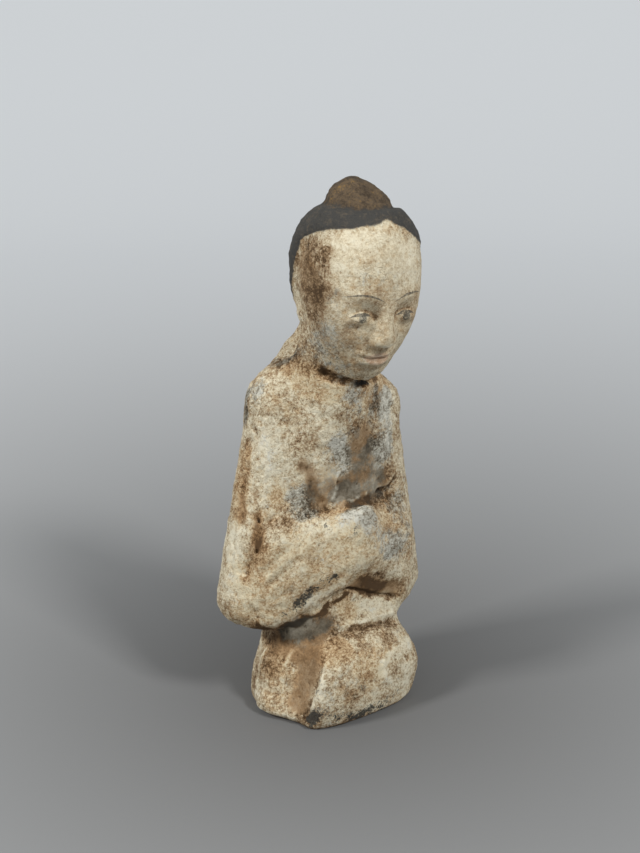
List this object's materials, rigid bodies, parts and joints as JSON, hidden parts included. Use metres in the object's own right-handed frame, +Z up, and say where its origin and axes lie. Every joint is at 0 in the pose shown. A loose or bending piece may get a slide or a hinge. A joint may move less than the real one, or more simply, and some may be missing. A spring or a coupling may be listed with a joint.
{
  "type": "terracotta court lady figure",
  "caption": "Small hand-modelled kneeling figure of a woman with folded wide sleeves, bowed head and topknot, in painted terracotta, on a flat underside.",
  "frame": {"origin": "on the flat underside, below the figure", "axes": "+Z up along the figure's height; she faces -Y and her own right is -X"},
  "size_m": [0.0724, 0.0488, 0.1683],
  "materials": {
    "painted_terracotta": "matt, worn cold-painted surface: white slip, brown earth and grey-black painted hair over buff clay"
  },
  "bodies": {
    "root": {"court_lady": "painted_terracotta"}
  },
  "joints": []
}
